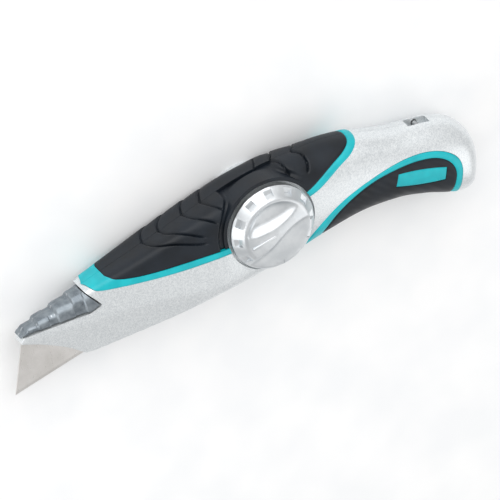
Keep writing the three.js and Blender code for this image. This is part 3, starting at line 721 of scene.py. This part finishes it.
def soft_part(name, side, outline, xs, low, high, rows, rise_at, seat=True, tip=None, inside=None):
    """One let-in soft part: a skin cut to its outline, with rounded edges and relief.

    Tip is the rounded front end that it has, and inside the outline of the grip that it surrounds.
    """
    sizes = chosen()
    obj = skin(name, side, xs, low, high, rows, sizes.grip_proud, SKIN_DEPTH, sizes.seam_gap / 2)
    combined(obj, prism("outline", outline, *THROUGH), "INTERSECT")
    if tip:
        combined(obj, tip_zone("tip", side, tip), "INTERSECT")
    if inside is not None:
        inner = prism("inner", inside, *THROUGH)
        cut(obj, combined(inner, tip_zone("tip", side, GRIP_TIP, sizes.part_gap), "INTERSECT"))
    if seat:
        radius = (SEAT_R if side == "right" else BOSS_R) + 0.2
        cut(obj, rod("seat", radius, *THROUGH, sides=144))
    border = np.vstack([outline, outline[:1]])
    sill = sizes.edge_round

    def rise(x, y, w):
        distance = distance_to(np.stack([x, y], axis=1), border)[0]
        edge = np.clip(1 - distance / (2.2 * sill), 0, 1)
        return rise_at(x, y, w) - sill * edge ** 2

    return embossed(obj, rise)


def plain(x, *_):
    """No relief."""
    return np.zeros(len(x))


def top_grip_relief(side):
    def rise(x, y, w):
        height = rib_relief(x, y, w, 0.95)
        if side == "right":
            radius = np.hypot(x, y)
            around = np.degrees(np.arctan2(y, x)) % 360
            sector = ramp(35, 60, around) * (1 - ramp(186, 200, around))
            height -= 1.25 * sector * (1 - ramp(SEAT_R + 3.2, SEAT_R + 4.2, radius))
        return height

    return rise


def make_soft_parts(side):
    front, rear = curve_through(TOP_TRIM), curve_through(TOP_TRIM_REAR)
    grip_front, grip_rear = curve_through(TOP_GRIP), curve_through(TOP_GRIP_REAR)
    palm, palm_grip = curve_through(PALM_TRIM), curve_through(PALM_GRIP)
    gap = chosen().part_gap
    parts = {
        "top_trim_front": (zone(front, [(-15, 40), (-76.2, 40)]), stations(-76.4, -15, 0.6), -6, None, 60),
        "top_trim_rear": (zone(rear, shifted(grip_rear, -gap)[::-1]), stations(15, 46, 0.5), 2, None, 50),
        "top_grip": (zone(grip_front, grip_rear), stations(-68, 43, 0.36), -3, None, 92),
        "palm_trim": (zone(palm, shifted(palm_grip, gap)[::-1]), stations(9.5, 82.5, 0.6), None, 3, 60),
        "palm_grip": (zone(palm_grip, [(75.7, -40), (20.4, -40)]), stations(19, 79.5, 0.6), None, 1.5, 60),
    }
    grip_area = zone(shifted(grip_front, -gap), [(-10, -1.7 - gap), (-10, 50)])
    for name, (outline, xs, low, high, rows) in parts.items():
        rise_at = top_grip_relief(side) if name == "top_grip" else plain
        tip = {"top_trim_front": TRIM_TIP, "top_grip": GRIP_TIP}.get(name)
        inside = grip_area if name == "top_trim_front" else None
        seat = name.startswith("top")
        obj = soft_part(f"{side}_{name}_skin", side, outline, xs, low, high, rows, rise_at, seat, tip, inside)
        slot = "slate_rubber" if name.endswith("grip") else "teal_plastic"
        if name == "palm_grip":
            cut(obj, prism("badge_well", badge_outline(gap), *THROUGH))
        if name == "top_grip" and side == "right":
            combined(obj, seat_rim(zone(grip_front, grip_rear)), "UNION")
        look = "slate_hatched" if name == "palm_grip" else None
        finished(obj, f"{side}_half", slot, [f"{side}_{name}"], 38, look)


def seat_rim(outline):
    """Soft rim around the knob's seat, where the body falls away under it."""
    rim = rod("rim", SEAT_R + 1.7, PARTING + 3, SEAT_Z + 0.45, sides=144)
    cut(rim, rod("rim_bore", SEAT_R + 0.2, PARTING, SEAT_Z + 5, sides=144))
    combined(rim, prism("rim_zone", outline, PARTING, PARTING + FAR), "INTERSECT")
    return cut(rim, core("rim_bed", "right", stations(-40, 40, 4), -1.45, 40, -4, 0.2))


def badge_outline(offset=0.0):
    """Long plate with bowed edges, tilted along the palm grip."""
    w, h = (size / 2 + offset for size in BADGE_SIZE)
    t = np.linspace(-1, 1, 15)
    lower = np.stack([t * w, -h * (1 - 0.2 * t * t)], axis=1)
    upper = np.stack([-t * w * 0.98, h * (1 - 0.2 * t * t)], axis=1)
    turn = math.radians(BADGE_TILT)
    spin = np.array([[math.cos(turn), math.sin(turn)], [-math.sin(turn), math.cos(turn)]])
    return np.vstack([lower, upper]) @ spin + np.array(BADGE_AT)


def make_badge(side):
    outline = badge_outline()
    obj = soft_part(f"{side}_badge_plate", side, outline, stations(50, 77, 0.5), -18, 0, 44,
                    lambda x, y, w: np.full(len(x), 0.12), seat=False)
    finished(obj, f"{side}_half", "teal_plastic", [f"{side}_badge"], 38)


# ---- shells ------------------------------------------------------------------------------------
def body_stations():
    ends = 90.8 - 3.2 * (1 - np.sin(np.linspace(0, math.pi / 2, 14)))
    nose = stations(-104.5, -100.5, 0.5)[:-1]
    corner = stations(-84, -76, 0.5)
    front, rear = stations(-100.5, -84, 0.8)[:-1], stations(-76, 87.6, 1.0)[1:]
    return np.concatenate([nose, front, corner, rear, ends[1:]])


def half_body(name, side, seam):
    """One half of the plain body, closed at the parting plane."""
    rings = []
    for x in body_stations():
        line = arc(x, 0, None, None, 72, seam)
        across = np.linspace(line[-1, 1], line[0, 1], 8)[1:-1]
        back = np.stack([np.full(6, x), across, np.full(6, seam)], axis=1)
        rings.append(np.vstack([line, back]))
    return tube(name, rings, side)


def bed_cutter(side, outline, depth, tip=None):
    """Everything outside the bed surface within an outline."""
    block = prism("bed", outline, PARTING - 40, PARTING + 40)
    if tip:
        combined(block, tip_zone("tip", side, tip, chosen().part_gap), "INTERSECT")
    return cut(block, core("bed_core", side, stations(-104, 90, 2), -depth, 44, -50))


def cavity_cutter(side):
    """The hollow of one half, with the hub and the pin bosses left standing."""
    hollow = core("hollow", side, stations(-46, 86.5, 2.5), -CAVITY_DEPTH, 40, -3)
    cut(hollow, rod("hub", HUB_R, *THROUGH, sides=64))
    for name in ("dowel_pin_1", "dowel_pin_2"):
        radius, _, _, at = pin_mm(name)
        cut(hollow, rod("boss", radius + BOSS_WALL, *THROUGH, at, 32))
    low, high = LANYARD_LOW, LANYARD_HIGH
    return cut(hollow, slab("lanyard_boss", (low[0] - 4.7, low[1] - 1.6, -5), (high[0] + 4.7, 30, 40)))


def cap_foot_zone():
    """Where the nose cap sits, with the dark joint line below and behind it."""
    gap = chosen().cap_joint
    foot = [(x, y - gap) for x, y in CAP_FOOT]
    rear = [(x + gap, y) for x, y in CAP_REAR[::-1]]
    return np.array([(-125, foot[0][1]), *foot, *rear, (rear[-1][0], 25), (-125, 25)])


def blade_outline(gap):
    """The blade's slot at the nose, in side view."""
    along = np.array([math.cos(BLADE_TILT), math.sin(BLADE_TILT)])
    over = np.array([-along[1], along[0]])
    tip = BLADE_LOW[:2]
    lean = BLADE_WIDTH / math.tan(BLADE_END)
    long, wide = BLADE_LENGTH + gap, BLADE_WIDTH + gap
    corners = [(-gap, -gap), (long, -gap), (long - lean, wide), (lean - gap, wide)]
    return np.array([tip + a * along + b * over for a, b in corners])


def shell_holes(side):
    """Bores and recesses of one half."""
    seam = PARTING
    spring_r = float(SPRING_HIGH[0] - SPRING_LOW[0]) / 2 + RUN
    holes = []
    if side == "left":
        socket_r, foot, _, _ = pin_mm("cam_socket")
        holes.append(rod("socket_bore", socket_r + FIT, foot - FIT, seam + 9))
        holes.append(rod("spring_bore", spring_r, SPRING_LOW[2] - FIT, seam + 9))
        for name in ("socket_screw_1", "socket_screw_2"):
            at = pin_mm(name)[3]
            holes.append(rod("screw_bore", 1.3, -2, 5, at, 24))
            holes.append(rod("head_bore", 2.2, -2, 1.5, at, 32))
    else:
        holes.append(rod("spring_bore", spring_r, seam - 9, SPRING_HIGH[2] + FIT))
        holes.append(rod("spindle_bore", pin_mm("knob_spindle")[0] + RUN, seam, seam + FAR))
        washer_r, foot, _, _ = pin_mm("thrust_washer")
        holes.append(rod("washer_bore", washer_r + FIT, foot - FIT, seam + FAR))
    pins = ["dowel_pin_1", "dowel_pin_2", "blade_pin_1", "blade_pin_2", "lanyard_pin"]
    for name in pins + (["blade_magnet"] if side == "left" else []):
        radius, foot, top, at = pin_mm(name)
        holes.append(rod("pin_bore", radius + FIT, foot - FIT, top + FIT, at, 32))
    return holes


def make_shell(side):
    sizes = chosen()
    gap = sizes.part_gap
    shell = half_body(f"{side}_shell_casting", side, sizes.seam_gap / 2)
    top = zone(shifted(curve_through(TOP_TRIM), -gap), shifted(curve_through(TOP_TRIM_REAR), -gap))
    palm = zone(shifted(curve_through(PALM_TRIM), gap), [(78.6, -45), (10.6, -45)])
    cut(shell, bed_cutter(side, top, BED_DEPTH, TRIM_TIP), bed_cutter(side, palm, BED_DEPTH))
    if side == "right":
        cut(shell, rod("seat", SEAT_R, SEAT_Z, SEAT_Z + 20, sides=144))
        combined(shell, rod("hub", SEAT_R + 0.15, PARTING + 2, SEAT_Z, sides=144), "UNION")
        moat = rod("moat", SEAT_R + 0.3, SEAT_Z - 2.5, SEAT_Z + 20, sides=144)
        cut(shell, cut(moat, rod("island", KNOB_R - 0.5, SEAT_Z - 3, SEAT_Z + 30, sides=144)))
    else:
        combined(shell, rod("pad", BOSS_R, 0, PARTING / 2, sides=144), "UNION")
    cut(shell, cavity_cutter(side))
    cut(shell, prism("cap_zone", cap_foot_zone(), *THROUGH))
    reach = float(BLADE_HIGH[2] - BLADE_LOW[2]) / 2 + FIT
    cut(shell, prism("blade_slot", blade_outline(RUN), PARTING - reach, PARTING + reach))
    at = (LANYARD_LOW + LANYARD_HIGH) / 2
    low, high = (at[0] - 4.5, at[1] - 1.8, PARTING - 2.6), (at[0] + 4.5, 30, PARTING + 2.6)
    cut(shell, slab("lanyard_slot", low, high))
    cut(shell, *shell_holes(side))
    finished(shell, f"{side}_half", "silver_paint", [f"{side}_shell"], 36)


# ---- nose cap ----------------------------------------------------------------------------------
def make_nose_cap(side):
    """Overlapping cast scales that step up towards the rear, like a lobster's tail."""
    seam = chosen().seam_gap / 2
    top_at, foot_at = smooth_line(CAP_TOP), smooth_line(CAP_FOOT)
    rings = []
    for x in stations(-104.35, -72.2, 0.16):
        steps = 0.4 + 0.5 * sum(float(ramp(lip - 0.3, lip + 0.3, x)) for lip in CAP_LIPS)
        steps -= 0.42 * sum(float(ramp(valley - 0.2, valley + 0.2, x)) for valley in CAP_VALLEYS)
        width = float(width_at(x)) - 0.75 + steps
        foot = float(foot_at(x))
        rise = max(float(top_at(x)) - foot, 0.05)
        q = np.linspace(0, 1, 26)
        turn = q ** 1.3 * math.pi / 2
        y = foot + rise * np.sin(turn) ** (2 / 2.6)
        w = np.maximum(width * np.clip(np.cos(turn), 0, 1) ** (2 / 2.6), seam)
        outer = np.stack([np.full(26, x), y, w], axis=1)
        inner = np.array([[x, foot + rise, seam], [x, foot, seam], [x, foot, width * 0.5]])
        rings.append(np.vstack([outer, inner]))
    obj = tube(f"{side}_nose_scales", rings, side)
    rear = [(-125, 25), (CAP_REAR[0][0], 25), *CAP_REAR, (CAP_REAR[-1][0], -20), (-125, -20)]
    combined(obj, prism("rear_edge", rear[::-1], *THROUGH), "INTERSECT")
    modified(obj, "BEVEL", width=0.22 * MM, segments=2, limit_method="ANGLE", angle_limit=math.radians(50))
    finished(obj, f"{side}_half", "gunmetal_paint", [f"{side}_nose_cap"], 40)


# ---- knob --------------------------------------------------------------------------------------
def knob_height(x, y, z):
    """Lowers a point of the knob's plain dome into the finger scoops on both sides of its bar."""
    u = x * math.cos(BAR_TILT) + y * math.sin(BAR_TILT)
    v = -x * math.sin(BAR_TILT) + y * math.cos(BAR_TILT)
    radius = np.hypot(x, y)
    upper = lesser(0.8 * (v - 1.4 - 0.012 * u * u), 1.3 * (13.4 - radius), 1.2)
    lower = 1.2 * (-v - 2.6 + 0.13 * u + 0.9 * np.sin(u / 4.2))
    for depth, reach, slant in ((upper, 2.9, 0.06), (lower, 3.7, 0.07)):
        floor = 6.4 - reach + slant * (u + 6)
        bowl = -lesser(-(6.9 - depth), -floor, 1.0)
        z = np.where(z > 1.6, lesser(z, bowl, 0.35), z)
    return z


def notch_cutter(angle):
    """One stepped notch of the rim: a flat inner floor and a lower outer one."""
    steps = [(13.6, 6.3), (14.2, 5.2), (15.0, 2.7), (16.7, 2.3), (17.6, 1.3), (20, 1.3), (20, 6.3)]
    wedge = prism("notch", steps, -1.7, 1.7)
    wedge.data.transform(Matrix.Rotation(math.radians(90), 4, "X"))
    wedge.data.transform(Matrix.Translation((0, 0, KNOB_FOOT * MM)))
    return turned(wedge, angle)


def make_knob():
    """A cast dial: notched leaning rim, dished on both sides of a bar that is its pointer."""
    profile = [(0, 0), (17.1, 0), (KNOB_R, 0.3), (KNOB_R, 1.7), (17.1, 2.1), (13.9, 5.4), (13.5, 5.65),
               (12.6, 5.95), (8, 6.35), (0, 6.65)]
    line = [profile[0]]
    for a, b in zip(profile, profile[1:]):
        count = max(int(math.dist(a, b) / 0.3), 1)
        steps = np.arange(1, count + 1) / count
        line += [(a[0] + (b[0] - a[0]) * t, a[1] + (b[1] - a[1]) * t) for t in steps]
    r, z = np.array(line).T
    r = np.maximum(r, 0.001)
    rings = []
    for around in np.linspace(0, 2 * math.pi, 288, endpoint=False):
        x, y = r * math.cos(around), r * math.sin(around)
        rings.append(np.stack([x, y, KNOB_FOOT + knob_height(x, y, z)], axis=1))
    knob = closed_turn("knob_dial", rings)
    for k in range(NOTCHES):
        cut(knob, notch_cutter(k * 360 / NOTCHES + NOTCH_PHASE))
    mark = slab("mark", (-11.7, -0.55, KNOB_FOOT + 5), (-1.3, 0.55, KNOB_FOOT + 6.72))
    modified(mark, "BEVEL", width=0.3 * MM, segments=3)
    mark.data.transform(Matrix.Translation((0, -1.1 * MM, 0)))
    combined(knob, turned(mark, 9), "UNION")
    radius, _, top, _ = pin_mm("knob_spindle")
    cut(knob, rod("spindle_bore", radius + FIT, KNOB_FOOT - 1, top + FIT))
    _, _, top, at = pin_mm("stop_pin")
    cut(knob, rod("stop_bore", 1.3, KNOB_FOOT - 1, top + 0.2, at, 24))
    finished(knob, "knob_lock", "satin_metal", ["knob"], 30)


def closed_turn(name, rings):
    """A solid of revolution whose profiles all start and end on its axis."""
    rings = np.array(rings)
    obj = sheet(name, np.concatenate([rings, rings[:1]], axis=0))
    return edited(obj, lambda: bpy.ops.mesh.remove_doubles(threshold=0.01 * MM), outward)


# ---- hardware ----------------------------------------------------------------------------------
def make_pins():
    """Turned pins and the magnet, each with chamfered ends."""
    bodies = {"stop_pin": "knob_lock"}
    slots = {"blade_magnet": "magnet_nickel"}
    names = [f"{kind}_pin_{i}" for kind in ("blade", "dowel") for i in (1, 2)]
    names += ["lanyard_pin", "blade_magnet", "stop_pin"]
    for name in names:
        obj = rod(f"{name}_turned", *pin_mm(name), 40)
        modified(obj, "BEVEL", width=0.25 * MM, segments=3, limit_method="ANGLE")
        slot = slots.get(name, "pin_steel")
        finished(obj, bodies.get(name, "left_half"), slot, [name], 40)


def make_spring():
    """Round-wire compression spring, standing between the two halves."""
    wire = SPRING_WIRE / 2
    radius = float(SPRING_HIGH[0]) - wire
    low, high = SPRING_LOW[2] + wire, SPRING_HIGH[2] - wire
    rings = []
    for t in np.linspace(0, 1, int(SPRING_TURNS * 40)):
        a = 2 * math.pi * SPRING_TURNS * t
        z = low + (high - low) * t
        around = np.linspace(0, 2 * math.pi, 14, endpoint=False)
        r = radius + wire * np.cos(around)
        rings.append(np.stack([r * math.cos(a), r * math.sin(a), z + wire * np.sin(around)], axis=1))
    obj = tube("lift_spring_coil", rings)
    finished(obj, None, "spring_steel", ["lift_spring"], 60)
    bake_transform(obj)


def dress_frame():
    """Frame nodes whose own shape is right keep it and get their finish."""
    slots = {entry["node"]: entry["material_slot"] for entry in frame["record"]["subparts"]}
    kept = ["blade", "spare_blade_1", "spare_blade_2", "spare_blade_3", "spare_clip", "spare_clip_screw",
            "cam_socket", "socket_screw_1", "socket_screw_2", "blade_pad", "thrust_washer", "knob_spindle",
            "cross_pin", "retaining_ring"]
    for name in kept:
        mesh = frame["nodes"][name].data
        mesh.materials.clear()
        mesh.materials.append(material_for(slots[name]))


# ---- stage -------------------------------------------------------------------------------------
RIGHT = Vector((0.875, -0.197, 0.442))
UP = Vector((0.3955, 0.817, -0.419))
BACK = Vector((-0.278, 0.541, 0.793))


def make_stage():
    sizes = chosen()
    floor = added("pale_floor", bpy.ops.mesh.primitive_plane_add, size=6,
                  location=(0, 0, cad_box[0][2] - 0.02 * MM))
    material, tree, principled, place = shader("pale_matt_card", Roughness=0.9)
    fibre = node(tree, "ShaderNodeTexNoise", grain(30), Vector=place)
    colour = node(tree, "ShaderNodeValToRGB", tones("#F4F5F6", "#FAFAFA"), Fac=fibre)
    linked(tree, principled, Base_Color=colour)
    floor.data.materials.append(material)

    target = Vector((0, 0, PARTING)) * MM + (RIGHT * -4.09 + UP * -13.9) * MM
    reach = 3.0
    camera_data = bpy.data.cameras.new("camera")
    camera_data.sensor_width = 36
    camera_data.lens = 2.64 * (reach / MM) / 500 * 36
    camera_data.clip_end = 20
    camera = bpy.data.objects.new("camera", camera_data)
    turn = Matrix((RIGHT, UP, BACK)).transposed().to_4x4()
    camera.matrix_world = Matrix.Translation(target + BACK * reach) @ turn
    bpy.context.collection.objects.link(camera)
    bpy.context.scene.camera = camera

    # Name, place in metres, side in metres and power in watts.
    lamps = [
        ("key_softbox", (-0.1, 0.8, 0.65), 1.2, 7.8),
        ("fill_softbox", (0.55, -0.45, 0.6), 0.6, 1.2),
        ("nose_softbox", (-0.8, -0.1, 0.45), 0.5, 1.6),
    ]
    for name, at, size, power in lamps:
        data = bpy.data.lights.new(name, "AREA")
        data.size = size
        data.energy = power
        lamp = bpy.data.objects.new(name, data)
        lamp.location = at
        lamp.rotation_euler = Vector(at).to_track_quat("Z", "Y").to_euler()
        bpy.context.collection.objects.link(lamp)

    world = bpy.data.worlds.new("studio")
    world.use_nodes = True
    background = world.node_tree.nodes["Background"]
    background.inputs["Color"].default_value = (1, 1, 1, 1)
    background.inputs["Strength"].default_value = sizes.room_light
    bpy.context.scene.world = world
    bpy.context.scene.view_settings.view_transform = "Standard"


# ---- add-on ------------------------------------------------------------------------------------
def size(name, description, default, low, high):
    """A size in millimetres."""
    return bpy.props.FloatProperty(name=name, description=f"{description}, in mm", default=default,
                                   min=low, max=high)


def colour(name, description, colour_hex):
    """A colour, from sRGB hex."""
    return bpy.props.FloatVectorProperty(name=name, description=description, default=linear(colour_hex),
                                         size=4, subtype="COLOR", min=0.0, max=1.0)


class KnifeSizes(bpy.types.PropertyGroup):
    """Sizes, colours and light that a user would change."""

    grip_proud: size("Grip height", "How far the soft parts stand above the metal", 0.35, 0.0, 0.6)
    edge_round: size("Edge rounding", "How far the edge of a soft part turns down", 0.28, 0.0, 0.6)
    part_gap: size("Joint width", "Width of the joint between two let-in parts", 0.12, 0.02, 0.3)
    seam_gap: size("Seam width", "Width of the seam between the two halves", 0.1, 0.05, 0.3)
    cap_joint: size("Cap joint", "Width of the dark joint under the nose cap", 0.8, 0.1, 1.2)
    trim_colour: colour("Trim colour", "Lighter tone of the trims and badges", "#06BAC3")
    trim_shade: colour("Trim shade", "Deeper tone of the trims and badges", "#00ACB6")
    grip_colour: colour("Grip colour", "Lighter tone of the soft grips", "#141C25")
    grip_shade: colour("Grip shade", "Deeper tone of the soft grips", "#0B1118")
    room_light: bpy.props.FloatProperty(
        name="Room light", description="Brightness of the white room around the knife",
        default=0.62, min=0.0, max=3.0)


class KNIFE_OT_shells(bpy.types.Operator):
    """Builds the two die-cast shells"""

    bl_idname = "knife.shells"
    bl_label = "Shells"

    def execute(self, context):
        for side in SIDES:
            make_shell(side)
        return {"FINISHED"}


class KNIFE_OT_nose_caps(bpy.types.Operator):
    """Builds the scaled caps over the nose"""

    bl_idname = "knife.nose_caps"
    bl_label = "Nose Caps"

    def execute(self, context):
        for side in SIDES:
            make_nose_cap(side)
        return {"FINISHED"}


class KNIFE_OT_soft_parts(bpy.types.Operator):
    """Builds the grips, trims and badges"""

    bl_idname = "knife.soft_parts"
    bl_label = "Grips and Trims"

    def execute(self, context):
        for side in SIDES:
            make_soft_parts(side)
            make_badge(side)
        return {"FINISHED"}


class KNIFE_OT_knob(bpy.types.Operator):
    """Builds the locking knob"""

    bl_idname = "knife.knob"
    bl_label = "Knob"

    def execute(self, context):
        make_knob()
        return {"FINISHED"}


class KNIFE_OT_hardware(bpy.types.Operator):
    """Builds the pins and the spring, and finishes the blades and the lock"""

    bl_idname = "knife.hardware"
    bl_label = "Hardware"

    def execute(self, context):
        make_pins()
        make_spring()
        dress_frame()
        return {"FINISHED"}


class KNIFE_OT_stage(bpy.types.Operator):
    """Sets the floor, the lights and the camera"""

    bl_idname = "knife.stage"
    bl_label = "Stage"

    def execute(self, context):
        make_stage()
        return {"FINISHED"}


class KNIFE_PT_panel(bpy.types.Panel):
    """Lists the knife's builders and sizes"""

    bl_idname = "KNIFE_PT_panel"
    bl_label = "Utility Knife"
    bl_space_type = "VIEW_3D"
    bl_region_type = "UI"
    bl_category = "Utility Knife"

    def draw(self, context):
        for name in KnifeSizes.__annotations__:
            self.layout.prop(context.scene.knife_sizes, name)
        for operator in OPERATORS:
            self.layout.operator(operator.bl_idname)


OPERATORS = (KNIFE_OT_stage, KNIFE_OT_shells, KNIFE_OT_nose_caps, KNIFE_OT_soft_parts, KNIFE_OT_knob,
             KNIFE_OT_hardware)


def register():
    for one in (KnifeSizes, *OPERATORS, KNIFE_PT_panel):
        bpy.utils.register_class(one)
    bpy.types.Scene.knife_sizes = bpy.props.PointerProperty(type=KnifeSizes)


def unregister():
    del bpy.types.Scene.knife_sizes
    for one in reversed((KnifeSizes, *OPERATORS, KNIFE_PT_panel)):
        bpy.utils.unregister_class(one)


def main():
    register()
    bpy.ops.knife.stage()
    bpy.ops.knife.shells()
    bpy.ops.knife.nose_caps()
    bpy.ops.knife.soft_parts()
    bpy.ops.knife.knob()
    bpy.ops.knife.hardware()


if __name__ == "__main__":
    main()
